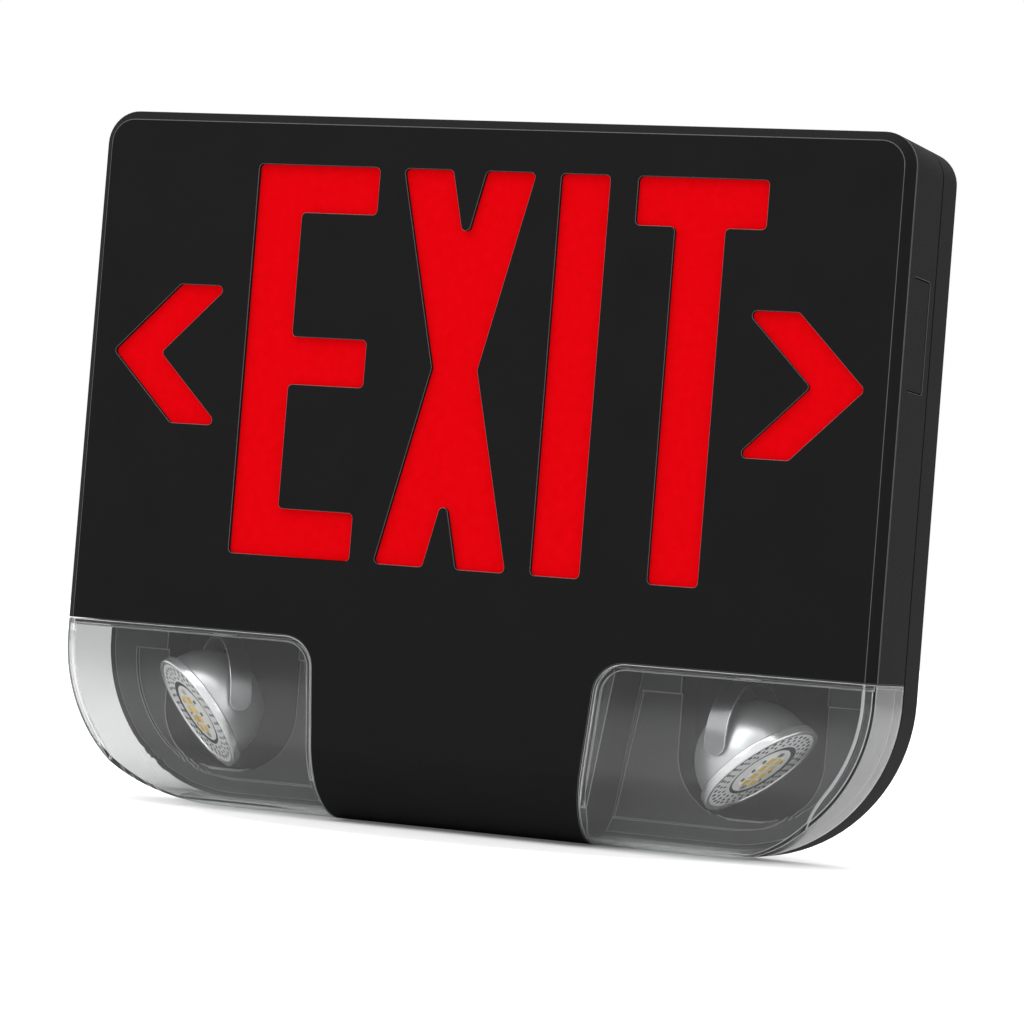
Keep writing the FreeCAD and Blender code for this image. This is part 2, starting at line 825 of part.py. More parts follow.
def make_light_tray():
    low, high = legend_span()
    x = half_width - S.panel_side_margin - S.tray_rim
    front = S.case_depth - S.cover_wall - S.panel_thickness
    low = low + S.tray_rim
    high = high - S.tray_rim
    wall = S.tray_wall
    depth = front - battery_front() - S.tray_clearance
    body = new_body("light_tray")
    outer = [(-x, low), (x, low), (x, high), (-x, high)]
    inner = [(wall - x, low + wall), (x - wall, low + wall), (x - wall, high - wall),
             (wall - x, high - wall)]
    add_pad(body, outline_sketch(body, "tray_outline", front - depth, outer), depth)
    add_pocket(body, outline_sketch(body, "tray_hollow", front, inner), depth - wall)
    node(body, "light_tray")
    strip_back = front - depth + S.strip_margin
    strip_front = front - S.strip_margin
    half = S.strip_length / 2
    levels = {"lower": (low + wall, 1), "upper": (high - wall, -1)}
    leds = []
    for name, (seat, up) in levels.items():
        top = seat + up * S.strip_thickness
        ends = (seat, top) if up > 0 else (top, seat)
        node(box(name + "_strip", (-half, -strip_front, ends[0]), (half, -strip_back, ends[1])),
             name + "_led_strip")
        led_ends = (top, top + S.led_height) if up > 0 else (top - S.led_height, top)
        middle = (strip_back + strip_front) / 2
        for i in range(LED_COUNT):
            x_led = S.strip_length * ((i + 0.5) / LED_COUNT - 0.5)
            leds.append(box("%s_led_%d" % (name, i),
                            (x_led - S.led_width / 2, -middle - S.led_depth / 2, led_ends[0]),
                            (x_led + S.led_width / 2, -middle + S.led_depth / 2, led_ends[1])))
    node(group("legend_led_group", leds), "legend_leds")


def make_lamp_trays():
    """The lamp's compartment: a stepped back plate, a well, a shelf and a cheek."""
    body = new_body("lamp_tray")
    lip_inset = S.cover_wall + S.slip_gap * 2 + S.lip_wall
    plate = lens_corners(lip_inset, dim(0))
    plate_back = lip_front - S.plate_thickness
    add_pad(body, outline_sketch(body, "plate_outline", plate_back, plate), S.plate_thickness)
    well_reach = lamp_sweep + S.well_clearance
    well_left = lamp_pitch - well_reach
    well_right = lamp_pitch + well_reach
    well_floor = pivot_z - well_reach

    def well(grow):
        return [(well_left - grow, shelf_under + grow),
                (well_right + grow, shelf_under + grow),
                (well_right + grow, well_floor - grow, S.well_corner + grow),
                (well_left - grow, well_floor - grow, S.well_corner + grow)]

    collar = outline_sketch(body, "well_collar", S.base_wall, well(S.well_wall - S.seat_gap))
    add_pad(body, collar, plate_back - S.base_wall + S.plate_step)
    top = lens_top - S.seat_gap
    right = half_width - S.lens_wall - S.seat_gap
    floor = S.lens_wall + S.seat_gap - half_height
    step_low = S.step_bottom - half_height
    cheek = [(lens_edge(top) + S.seat_gap, top, S.lens_corner - S.seat_gap),
             (right, top), (right, shelf_under), (S.step_left_top, shelf_under),
             (S.step_left_bottom, step_low), (lens_edge(floor) + S.seat_gap, floor)]
    cheek_front = S.case_depth - S.shelf_setback
    cheek_sketch = outline_sketch(body, "cheek_outline", lip_front - S.plate_step, cheek)
    add_pad(body, cheek_sketch, cheek_front - lip_front + S.plate_step)
    side = half_width - S.step_side
    step = [(S.step_left_top, lens_top - S.step_top),
            (side, lens_top - S.step_top),
            (side, step_low, S.bottom_corner - S.step_side),
            (S.step_left_bottom, step_low)]
    add_pocket(body, outline_sketch(body, "plate_step", lip_front, step), S.plate_step)
    add_pocket(body, outline_sketch(body, "well", lip_front, well(dim(0))), lip_front)
    swivel = circle_sketch(body, "swivel_hole", "XY_Plane", shelf_under - S.seat_gap,
                           (lamp_pitch, -lamp_out, S.swivel_radius + S.slip_gap))
    add_pocket(body, swivel, S.shelf_thickness * 2, backwards=True)
    round_underside(body, S.lens_wall + S.seat_gap)
    right_tray = node(body, "right_lamp_tray")
    node(mirrored("lamp_tray_twin", right_tray), "left_lamp_tray")


def make_bracket(side, name, pan):
    """A strap bent over the lamp, with a swivel stud held by a nut on the shelf."""
    outer = strap_radius
    half = S.strap_width / 2
    across = dict(axis=(1, 0, 0), angle=90)
    ring = cut(name + "_strap_ring",
               cylinder(name + "_strap_outer", outer, S.strap_width, 0, half, 0, **across),
               cylinder(name + "_strap_inner", outer - S.strap_thickness, S.strap_width + SPARE,
                        0, half + SPARE / 2, 0, **across))
    upper = box(name + "_strap_upper", (-outer, -half, dim(0)), (outer, half, outer))
    ends = cylinder(name + "_strap_ends", half, outer * 2, -outer, 0, 0, (0, 1, 0), 90)
    strap = common(name + "_strap", ring, fuse(name + "_strap_band", upper, ends))
    hole_end = outer - S.strap_thickness + S.stud_reach + S.slip_gap
    stud_hole = cylinder(name + "_stud_hole", S.stud_radius + S.slip_gap, hole_end * 2,
                         -hole_end, 0, 0, (0, 1, 0), 90)
    shelf_top = S.slip_gap + S.washer_thickness + S.shelf_thickness
    tip = shelf_top + S.seat_gap + S.swivel_nut_height + S.swivel_tip
    stem = cylinder(name + "_swivel_stem", S.swivel_radius, tip + S.strap_thickness / 2,
                    0, 0, outer - S.strap_thickness / 2)
    bracket = cut(name + "_bracket_shape", fuse(name + "_strap_stem", strap, stem), stud_hole)
    bracket.setExpression("Placement", pose_text(side * lamp_pitch, -lamp_out, pivot_z,
                                                 (0, 0, 1), pan))
    node(bracket, name + "_lamp_bracket")
    washer = cut(name + "_washer_shape",
                 cylinder(name + "_washer_disc", S.washer_radius, S.washer_thickness),
                 cylinder(name + "_washer_bore", S.swivel_radius + S.slip_gap,
                          S.washer_thickness * 3, 0, 0, -S.washer_thickness))
    place(washer, side * lamp_pitch, -lamp_out, shelf_under - S.washer_thickness)
    node(washer, name + "_swivel_washer")
    hexagon = document.addObject("Part::Prism", name + "_nut_hexagon")
    hexagon.Polygon = 6
    bind(hexagon, "Circumradius", S.swivel_nut / math.sqrt(3))
    bind(hexagon, "Height", S.swivel_nut_height)
    nut = cut(name + "_nut_shape", hexagon,
              cylinder(name + "_nut_bore", S.swivel_radius, S.swivel_nut_height * 3,
                       0, 0, -S.swivel_nut_height))
    nut_seat = shelf_under + S.shelf_thickness + S.seat_gap
    nut.setExpression("Placement", pose_text(side * lamp_pitch, -lamp_out, nut_seat,
                                             (0, 0, 1), pan))
    node(nut, name + "_swivel_nut")


def make_shell(name):
    """The round lamp shell, open at its face, with a pivot stud on each side."""
    outer = sphere(name + "_shell_outer", shell_radius, -S.shell_set)
    inner = sphere(name + "_shell_inner", shell_radius - S.shell_wall, -S.shell_set)
    reach = shell_radius * 2
    room = box(name + "_shell_room", (-reach, -S.shell_front, -reach), (reach, reach, reach))
    stud_end = strap_radius - S.strap_thickness + S.stud_reach
    studs = cut(name + "_stud_pair",
                cylinder(name + "_stud_rod", S.stud_radius, stud_end * 2, -stud_end, 0, 0,
                         (0, 1, 0), 90),
                sphere(name + "_stud_clear", shell_radius - S.shell_wall, -S.shell_set))
    wall = common(name + "_shell_wall", cut(name + "_shell_skin", outer, inner), room)
    return fuse(name + "_shell_shape", wall, studs)


def make_ring(name):
    body = new_body(name + "_ring_body")
    front = -S.face_set - S.ring_lip
    inside = shell_radius + S.slip_gap
    sketch = new_sketch(body, name + "_ring_section", "XY_Plane", 0)
    add_loop(sketch, [(inside, front + S.ring_length), (inside, front, S.ring_edge / 2),
                      (ring_radius, front, S.ring_edge),
                      (ring_radius, front + S.ring_length)])
    add_revolution(body, sketch)
    return body


def make_heat_sink(side, name):
    """The perforated face and the hub behind it, with a pocket for the LED board."""
    body = new_body(name + "_sink_body")
    face = -S.face_set
    back = face + S.face_thickness
    sketch = new_sketch(body, name + "_sink_section", "XY_Plane", 0)
    hub = shell_radius - S.hub_margin
    add_loop(sketch, [(0, face), (shell_radius, face), (shell_radius, back),
                      (hub, back), (hub, face + S.hub_length), (0, face + S.hub_length)])
    add_revolution(body, sketch)
    pocket = circle_sketch(body, name + "_board_pocket", "XZ_Plane", S.face_set,
                           (side * S.pocket_shift, 0, pocket_radius))
    add_pocket(body, pocket, S.pocket_depth)
    rings = ((S.outer_hole_margin, S.outer_hole_radius, OUTER_HOLES),
             (S.middle_hole_margin, S.inner_hole_radius, MIDDLE_HOLES),
             (S.inner_hole_margin, S.inner_hole_radius, INNER_HOLES))
    for number, (margin, radius, count) in enumerate(rings):
        hole = circle_sketch(body, "%s_hole_%d" % (name, number), "XZ_Plane", S.face_set,
                             (shell_radius - margin, 0, radius))
        add_ring_of(body, add_pocket(body, hole, S.face_thickness), hole, count)
    return body


def make_led_board(name):
    body = new_body(name + "_board_body")
    seat = S.face_set - S.pocket_depth
    disc = circle_sketch(body, name + "_board_disc", "XZ_Plane", seat,
                         (0, 0, pocket_radius - S.pocket_gap))
    add_pad(body, disc, S.pocket_depth + S.board_lift)
    return body


def make_chips(name):
    front = -S.face_set - S.board_lift
    chips = []
    for row in range(CHIP_ROWS):
        z = S.chip_pitch_along * (row - (CHIP_ROWS - 1) / 2)
        for across in (-0.5, 0.5):
            x = S.chip_pitch_across * across
            chips.append(box("%s_chip_%d" % (name, len(chips)),
                             (x - S.chip_width / 2, front - S.chip_height,
                              z - S.chip_length / 2),
                             (x + S.chip_width / 2, front, z + S.chip_length / 2)))
    return group(name + "_chip_group", chips)


def make_lamp(side, name, pan, tilt):
    make_bracket(side, name, pan)
    pieces = {"lamp_shell": make_shell(name), "lamp_ring": make_ring(name),
              "heat_sink": make_heat_sink(side, name), "led_board": make_led_board(name),
              "led_chips": make_chips(name)}
    pivot = pose_text(side * lamp_pitch, -lamp_out, pivot_z, (0, 0, 1), pan)
    turned = "%s * %s" % (pivot, pose_text(0, 0, 0, (1, 0, 0), tilt))
    for piece, obj in pieces.items():
        obj.setExpression("Placement", turned)
        node(obj, "%s_%s" % (name, piece))


def make_side_cover():
    """The snap-in plate that closes the end-mounting window."""
    inner_face = half_width - S.cover_wall
    body = new_body("side_cover")
    plate = new_sketch(body, "side_plate", "YZ_Plane", inner_face)
    add_loop(plate, side_window(dim(0)))
    add_pad(body, plate, S.cover_wall - S.cover_plate_sink)
    flange = new_sketch(body, "side_flange", "YZ_Plane", inner_face)
    add_loop(flange, side_window(S.cover_plate_gap + S.cover_plate_flange))
    add_pad(body, flange, S.cover_plate_flange, backwards=True)
    node(body, "side_cover")


def board_post_places():
    x = S.board_width / 2 - S.post_inset
    low = board_low() + S.post_inset
    high = board_low() + S.board_height - S.post_inset
    return [(-x, low), (x, low), (-x, high), (x, high)]


def board_low():
    return S.board_rise - half_height


def on_board(name, centre_x, centre_z, width, height, depth):
    """A block that sits on the front of the charger board."""
    seat = S.base_wall + S.post_height + S.board_thickness
    low = (centre_x - width / 2, -(seat + depth), centre_z - height / 2)
    high = (centre_x + width / 2, -seat, centre_z + height / 2)
    return box(name, low, high)


def screw(name, x, z, seat, shank_radius, shank_length, head_radius, head_height):
    """A pan-head screw whose head bears on a surface at a distance out."""
    across = dict(axis=(1, 0, 0), angle=90)
    shank = cylinder(name + "_shank", shank_radius, shank_length, x, shank_length - seat, z,
                     **across)
    head = cylinder(name + "_head", head_radius, head_height, x, -seat, z, **across)
    return fuse(name, shank, head)


def make_charger():
    body = new_body("charger_board")
    seat = S.base_wall + S.post_height
    x = S.board_width / 2
    low = board_low()
    high = low + S.board_height
    edge = [(-x, low, S.post_screw_head), (x, low, S.post_screw_head),
            (x, high, S.post_screw_head), (-x, high, S.post_screw_head)]
    add_pad(body, outline_sketch(body, "board_outline", seat, edge), S.board_thickness)
    holes = circle_sketch(body, "board_holes", "XZ_Plane", seat + S.board_thickness,
                          *[(a, b, S.post_screw_radius + S.slip_gap)
                            for a, b in board_post_places()])
    add_pocket(body, holes, S.board_thickness)
    node(body, "charger_board")
    screws = [screw("board_screw_%d" % i, a, b, seat + S.board_thickness,
                    S.post_screw_radius, S.post_height, S.post_screw_head,
                    S.clip_screw_head_height)
              for i, (a, b) in enumerate(board_post_places())]
    node(group("board_screw_group", screws), "board_screws")
    middle = low + S.board_height / 2
    core_block = on_board("core_block", S.core_centre, middle, S.core_width, S.core_height,
                          S.core_depth)
    coil_lift = (S.coil_depth - S.core_depth) / 2
    core_block.setExpression("Placement.Base.y",
                             (-(seat + S.board_thickness + S.core_depth + coil_lift)).text)
    window = on_board("core_window", S.core_centre, middle, S.coil_width, S.coil_height,
                      S.coil_depth)
    node(cut("core_shape", core_block, window), "transformer_core")
    coil = on_board("coil_block", S.core_centre, middle, S.coil_width, S.coil_height,
                    S.coil_depth)
    node(coil, "transformer_coil")
    node(on_board("relay_block", S.relay_centre, middle, S.relay_width, S.relay_height,
                  S.relay_depth), "relay")
    node(on_board("terminal_block_shape", S.terminal_centre, middle, S.terminal_width,
                  S.terminal_height, S.terminal_depth), "terminal_block")


def make_test_button():
    """A flush button in the underside that works a switch on the charger board."""
    floor = -half_height
    wall_top = floor + S.cover_wall + S.lip_wall + S.slip_gap
    across = (S.button_place, -S.button_out)
    flange_low = wall_top + S.seat_gap
    cap = cylinder("button_cap", S.button_radius, flange_low - floor - S.button_recess,
                   *across, floor + S.button_recess)
    flange = cylinder("button_flange_disc", S.button_radius + S.button_flange,
                      S.button_flange_height, *across, flange_low)
    node(fuse("button_shape", cap, flange), "test_button")
    flange_top = flange_low + S.button_flange_height
    seat = S.base_wall + S.post_height + S.board_thickness
    switch_low = flange_top + S.button_travel + S.plunger_show
    switch_top = switch_low + S.switch_height
    half = S.switch_width / 2
    block = box("switch_block", (S.button_place - half, -(S.button_out + S.button_radius),
                                 switch_low), (S.button_place + half, -seat, switch_top))
    shaft = cylinder("switch_shaft", S.plunger_radius + S.slip_gap,
                     S.switch_height + SPARE - S.switch_wall, *across, switch_low - SPARE)
    node(cut("switch_shape", block, shaft), "test_switch")
    node(cylinder("plunger_pin", S.plunger_radius, switch_top - S.switch_wall - flange_top
                  - S.button_travel - S.seat_gap, *across, flange_top), "switch_plunger")


def make_status_light():
    floor = -half_height
    lens = cylinder("status_stem", S.status_radius, S.status_length, S.status_place,
                    -S.button_out, floor)
    node(lens, "status_light")


def clip_screw_places():
    middle = S.battery_bottom + S.cell_length / 2
    right = S.battery_left + S.cell_radius * 2 * CELL_COUNT
    reach = S.clip_thickness + S.clip_foot / 2
    return [(S.battery_left - reach, middle), (right + reach, middle)]


def make_battery():
    """Three round cells in one sleeve, under a sprung steel clip."""
    cells = []
    axis_out = S.base_wall + S.cell_radius
    for i in range(CELL_COUNT):
        x = S.battery_left + S.cell_radius * (2 * i + 1)
        cells.append(cylinder("cell_%d" % i, S.cell_radius, S.cell_length, x, -axis_out,
                              S.battery_bottom))
    first = S.battery_left + S.cell_radius
    last = first + S.cell_radius * 2 * (CELL_COUNT - 1)
    web = box("cell_web", (first, -(axis_out + S.cell_radius / 2), S.battery_bottom),
              (last, -S.base_wall, S.battery_bottom + S.cell_length))
    node(fuse("battery_sleeve", web, *cells), "battery_pack")
    middle = S.battery_bottom + S.cell_length / 2
    low = middle - S.clip_width / 2
    high = middle + S.clip_width / 2
    left = S.battery_left
    right = S.battery_left + S.cell_radius * 2 * CELL_COUNT
    foot_seat = S.base_wall + S.post_height
    metal = S.clip_thickness
    top = battery_front() - metal
    band = box("clip_band", (left - metal, -(top + metal), low), (right + metal, -foot_seat, high))
    hollow = box("clip_hollow", (left, -top, low - SPARE), (right, SPARE - foot_seat,
                                                            high + SPARE))
    feet = [box("clip_foot_left", (left - metal - S.clip_foot, -(foot_seat + metal), low),
                (left - metal / 2, -foot_seat, high)),
            box("clip_foot_right", (right + metal / 2, -(foot_seat + metal), low),
                (right + metal + S.clip_foot, -foot_seat, high))]
    strap = fuse("clip_strap", cut("clip_bow", band, hollow), *feet)
    holes = [cylinder("clip_hole_%d" % i, S.clip_screw_radius + S.slip_gap, metal * 4, x,
                      metal * 2 - foot_seat, z, axis=(1, 0, 0), angle=90)
             for i, (x, z) in enumerate(clip_screw_places())]
    node(cut("clip_shape", strap, fuse("clip_holes", *holes)), "battery_clip")
    screws = [screw("clip_screw_%d" % i, x, z, foot_seat + metal, S.clip_screw_radius,
                    S.clip_screw_length, S.clip_screw_head, S.clip_screw_head_height)
              for i, (x, z) in enumerate(clip_screw_places())]
    node(group("clip_screw_group", screws), "clip_screws")


def check_and_write():
    """Stop on any failed object, then write each sub-part under its own name."""
    document.recompute()
    for obj in document.Objects:
        if "Invalid" in obj.State or "Error" in obj.State:
            raise RuntimeError("%s failed: %s" % (obj.Name, obj.State))
    os.makedirs("parts", exist_ok=True)
    for obj in nodes:
        shape = obj.Shape
        if shape.isNull() or not shape.isValid():
            raise RuntimeError("%s has no valid shape" % obj.Label)
        shape.exportStep(os.path.join("parts", obj.Label + ".step"))
        print("%-22s %2d solid %10.1f mm3" % (obj.Label, len(shape.Solids), shape.Volume))


make_front_cover()
make_base_housing()
make_lenses()
make_legend_panel()
make_light_tray()
make_lamp_trays()
make_lamp(-1, "left", S.left_pan, S.left_tilt)
make_lamp(1, "right", S.right_pan, S.right_tilt)
make_side_cover()
make_charger()
make_test_button()
make_status_light()
make_battery()
check_and_write()
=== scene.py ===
# %% [markdown]
# # An emergency exit light
# The real object is a black moulded case with the word EXIT and two arrowheads cut out of its
# face, a red panel lit from behind, and a lamp head behind a clear lens at each lower corner.
# The solid frame is loaded first, because every piece made here is placed by it. All sizes are
# in metres. The origin is the wire entry at the wall, +Y goes into the wall and +Z is up.

# %% Load the frame
import math

import bmesh
import bpy
from mathutils import Matrix, Vector


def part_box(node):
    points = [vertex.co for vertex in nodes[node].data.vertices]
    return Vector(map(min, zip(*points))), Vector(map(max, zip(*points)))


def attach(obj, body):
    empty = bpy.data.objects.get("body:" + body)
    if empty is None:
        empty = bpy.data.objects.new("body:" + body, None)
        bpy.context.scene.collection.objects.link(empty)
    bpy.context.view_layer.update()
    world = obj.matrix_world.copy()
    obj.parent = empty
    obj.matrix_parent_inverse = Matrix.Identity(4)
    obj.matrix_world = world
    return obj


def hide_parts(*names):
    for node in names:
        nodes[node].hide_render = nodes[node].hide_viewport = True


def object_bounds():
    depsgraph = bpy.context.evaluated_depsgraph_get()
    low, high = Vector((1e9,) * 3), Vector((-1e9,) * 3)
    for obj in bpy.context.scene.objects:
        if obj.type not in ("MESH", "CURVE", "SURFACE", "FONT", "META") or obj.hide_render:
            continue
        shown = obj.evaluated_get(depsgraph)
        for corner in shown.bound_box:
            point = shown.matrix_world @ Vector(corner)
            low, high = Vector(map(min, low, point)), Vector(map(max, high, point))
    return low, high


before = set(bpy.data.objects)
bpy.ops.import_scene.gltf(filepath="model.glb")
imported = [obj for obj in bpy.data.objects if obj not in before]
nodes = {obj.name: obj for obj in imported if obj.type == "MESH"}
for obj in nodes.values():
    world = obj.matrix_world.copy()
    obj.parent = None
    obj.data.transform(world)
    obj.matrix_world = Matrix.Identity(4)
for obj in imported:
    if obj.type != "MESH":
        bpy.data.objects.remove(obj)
case_low, case_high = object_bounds()
print("case from", [round(v, 4) for v in case_low], "to", [round(v, 4) for v in case_high])

# %% [markdown]
# ## Camera
# The sign is seen from its right and a little from below, through a long lens, and the camera
# is rolled a few degrees so that the case leans. A plain camera with a place and three angles
# is enough: the focal length is that of a 36 mm wide sensor.

# %% Place the camera
CAMERA_PLACE = Vector((0.5800, -1.4301, -0.0526))
CAMERA_AZIMUTH = math.radians(22.205)
CAMERA_ELEVATION = math.radians(-1.529)
CAMERA_ROLL = math.radians(4.587)
CAMERA_FOCAL = 133.4

camera_data = bpy.data.cameras.new("camera")
camera = bpy.data.objects.new("camera", camera_data)
bpy.context.scene.collection.objects.link(camera)
bpy.context.scene.camera = camera
camera_data.sensor_width = 36.0
camera_data.lens = CAMERA_FOCAL
camera_data.clip_start = 0.05
camera_data.clip_end = 60.0
back = Vector((math.sin(CAMERA_AZIMUTH) * math.cos(CAMERA_ELEVATION),
               -math.cos(CAMERA_AZIMUTH) * math.cos(CAMERA_ELEVATION),
               math.sin(CAMERA_ELEVATION)))
level_right = Vector((math.cos(CAMERA_AZIMUTH), math.sin(CAMERA_AZIMUTH), 0.0))
level_up = back.cross(level_right)
right = level_right * math.cos(CAMERA_ROLL) + level_up * math.sin(CAMERA_ROLL)
up = back.cross(right)
camera.matrix_world = Matrix((
    (right.x, up.x, back.x, CAMERA_PLACE.x),
    (right.y, up.y, back.y, CAMERA_PLACE.y),
    (right.z, up.z, back.z, CAMERA_PLACE.z),
    (0.0, 0.0, 0.0, 1.0)))
print("camera at", tuple(round(v, 3) for v in CAMERA_PLACE))

# %% [markdown]
# ## Material helpers
# Each finish is a node tree around one Principled shader. The helpers below keep the cells
# short: one starts a material, one adds a node with its values, and one adds fine grain to the
# surface. Patterns read Object coordinates, which are metres of the real object, so a noise
# scale of 2500 has grains of about 0.4 mm.

# %% Material helpers
def start_material(name, colour, roughness, metallic=0.0, specular=0.5):
    """A material with one Principled shader; returns the material, its tree and the shader."""
    material = bpy.data.materials.new(name)
    material.use_nodes = True
    tree = material.node_tree
    shader = tree.nodes["Principled BSDF"]
    shader.inputs["Base Color"].default_value = (*colour, 1.0)
    shader.inputs["Roughness"].default_value = roughness
    shader.inputs["Metallic"].default_value = metallic
    shader.inputs["Specular IOR Level"].default_value = specular
    return material, tree, shader


def add_node(tree, kind, settings=None, **inputs):
    """A node of a kind, with its own settings and the values or links of its inputs."""
    node = tree.nodes.new(kind)
    for key, value in (settings or {}).items():
        setattr(node, key, value)
    for key, value in inputs.items():
        socket = node.inputs[key.replace("_", " ")]
        if isinstance(value, bpy.types.NodeSocket):
            tree.links.new(value, socket)
        else:
            socket.default_value = value
    return node


def object_noise(tree, scale, detail=2.0, roughness=0.5, stretch=None):
    """Noise in Object coordinates; stretch gives a scale for each axis instead of one."""
    place = add_node(tree, "ShaderNodeTexCoord").outputs["Object"]
    if stretch is not None:
        place = add_node(tree, "ShaderNodeMapping", Vector=place,
                         Scale=stretch).outputs["Vector"]
    noise = add_node(tree, "ShaderNodeTexNoise", Vector=place, Scale=scale, Detail=detail,
                     Roughness=roughness)
    return noise.outputs["Fac"]


def spread(tree, value, low, high, start=0.3, end=0.7):
    """A value remapped so that start..end becomes low..high."""
    node = tree.nodes.new("ShaderNodeMapRange")
    tree.links.new(value, node.inputs["Value"])
    for name, number in zip(("From Min", "From Max", "To Min", "To Max"),
                            (start, end, low, high)):
        node.inputs[name].default_value = number
    return node.outputs["Result"]


def blend_colours(tree, factor, first, second):
    """A colour between two, by a factor."""
    ramp = tree.nodes.new("ShaderNodeValToRGB")
    tree.links.new(factor, ramp.inputs["Fac"])
    ramp.color_ramp.elements[0].color = (*first, 1.0)
    ramp.color_ramp.elements[1].color = (*second, 1.0)
    ramp.color_ramp.elements[0].position = 0.3
    ramp.color_ramp.elements[1].position = 0.7
    return ramp.outputs["Color"]


def add_bump(tree, shader, height, strength, distance):
    """Bump from a height, in metres of distance."""
    bump = add_node(tree, "ShaderNodeBump", Height=height, Strength=strength,
                    Distance=distance)
    tree.links.new(bump.outputs["Normal"], shader.inputs["Normal"])


def grained(name, colour, other, roughness, grain, depth, specular=0.5, metallic=0.0,
            stretch=None, wander=0.15):
    """A finish with a little variation of colour and roughness, and grain of a depth."""
    material, tree, shader = start_material(name, colour, roughness, metallic, specular)
    patch = object_noise(tree, grain / 12, 3.0)
    tree.links.new(blend_colours(tree, patch, colour, other), shader.inputs["Base Color"])
    fine = object_noise(tree, grain, 2.0, 0.6, stretch)
    tree.links.new(spread(tree, fine, roughness * (1 - wander), roughness * (1 + wander)),
                   shader.inputs["Roughness"])
    if depth:
        add_bump(tree, shader, fine, 0.4, depth)
    return material


print("material helpers ready")

# %% [markdown]
# ## Finishes of the case
# The case is black moulded plastic with a fine matte grain, so it shows almost no reflection:
# the shader's specular level is low, and noise breaks up what is left. Rounded edges catch more
# light than the faces beside them, so they get a paler finish of their own, painted highlight,
# and so do the lamp trays' edges. The base's edges lie in the dark parting groove, so theirs is
# darker instead, painted shade. The trays' sideways faces get a darker copy of the tray finish,
# painted shade. The red legend panel is a translucent sheet lit from behind, which reads as an
# even deep red from any side, so part of its colour is emitted.

# %% Case plastic and legend red
def case_plastic(name, colour, lighter, specular=0.05, shine=0.55, depth=0.00006):
    material, tree, shader = start_material(name, colour, shine, specular=specular)
    cloud = object_noise(tree, 45.0, 3.0)
    grain = object_noise(tree, 1500.0, 3.0, 0.7)
    mixed = add_node(tree, "ShaderNodeMath", {"operation": "MULTIPLY_ADD"})
    tree.links.new(cloud, mixed.inputs[0])
    mixed.inputs[1].default_value = 0.35
    tree.links.new(grain, mixed.inputs[2])
    tree.links.new(blend_colours(tree, mixed.outputs[0], colour, lighter),
                   shader.inputs["Base Color"])
    tree.links.new(spread(tree, grain, shine * 0.9, shine * 1.2), shader.inputs["Roughness"])
    add_bump(tree, shader, grain, 0.35, depth)
    return material


black_case = case_plastic("black_case_plastic", (0.0065, 0.0065, 0.0068), (0.010, 0.010, 0.0104))
# Paler finish for the case's rounded edges: painted highlight.
case_edge_highlight = case_plastic("case_edge_plastic", (0.070, 0.070, 0.072), (0.10, 0.10, 0.102), 0.3)
# Darker finish for the base's edges in the parting groove: painted shade.
base_edge_shade = case_plastic("base_edge_plastic", (0.003, 0.003, 0.003), (0.006, 0.006, 0.006))
tray_plastic = case_plastic("lamp_tray_plastic", (0.040, 0.041, 0.043), (0.05, 0.051, 0.053),
                            depth=0.00001)
# Darker copy of the tray finish for its sideways faces: painted shade.
tray_side_shade = case_plastic("lamp_tray_sides", (0.008, 0.008, 0.009), (0.014, 0.014, 0.015),
                         depth=0.00001)
# Paler finish for the trays' rounded edges: painted highlight.
tray_edge_highlight = case_plastic("lamp_tray_edge", (0.16, 0.16, 0.165), (0.26, 0.26, 0.265), 0.3)

legend_red, tree, shader = start_material("legend_red", (0.42, 0.001, 0.003), 0.6, specular=0.0)
mottle = object_noise(tree, 260.0, 4.0)
tree.links.new(blend_colours(tree, mottle, (0.39, 0.0008, 0.002), (0.42, 0.001, 0.004)),
               shader.inputs["Base Color"])
tree.links.new(blend_colours(tree, mottle, (0.60, 0.0008, 0.002), (0.64, 0.001, 0.003)),
               shader.inputs["Emission Color"])
shader.inputs["Emission Strength"].default_value = 0.55
print("case finishes made")

# %% [markdown]
# ## Clear lens
# The lenses are clear polycarbonate, so they are glass to light. What shows of them is their
# edges, which gather light from the whole thickness of the wall, so the edges get a paler,
# partly clear finish: painted highlight. Light from the lamps would be lost in the glass, so for
# shadow rays alone both are swapped for a clear surface.

# %% Clear lens
def clear_plastic(name, tint, transmission, smooth, rough, specular=0.5):
    material, tree, shader = start_material(name, tint, smooth, specular=specular)
    shader.inputs["Transmission Weight"].default_value = transmission
    shader.inputs["IOR"].default_value = 1.5
    haze = object_noise(tree, 120.0, 2.0)
    tree.links.new(spread(tree, haze, smooth, rough), shader.inputs["Roughness"])
    clear = add_node(tree, "ShaderNodeBsdfTransparent")
    clear.inputs["Color"].default_value = (0.93, 0.94, 0.94, 1.0)
    path = add_node(tree, "ShaderNodeLightPath")
    choice = add_node(tree, "ShaderNodeMixShader")
    tree.links.new(path.outputs["Is Shadow Ray"], choice.inputs["Fac"])
    tree.links.new(shader.outputs["BSDF"], choice.inputs[1])
    tree.links.new(clear.outputs["BSDF"], choice.inputs[2])
    tree.links.new(choice.outputs["Shader"], tree.nodes["Material Output"].inputs["Surface"])
    return material


lens_clear = clear_plastic("clear_polycarbonate", (0.98, 0.985, 0.985), 1.0, 0.004, 0.02)
# Paler, less clear finish for the lens edges: painted highlight.
lens_edge_highlight = clear_plastic("polycarbonate_edge", (0.70, 0.72, 0.73), 0.55, 0.08, 0.14)
print("lens finishes made")

# %% [markdown]
# ## Metals and inner plastics
# The lamp heads are satin metal with a brighter turned ring. Fine noise in the roughness keeps
# the metal from looking like chrome. The pieces inside the case have ordinary finishes: white
# reflector, green circuit board, taped coil and sleeved battery.

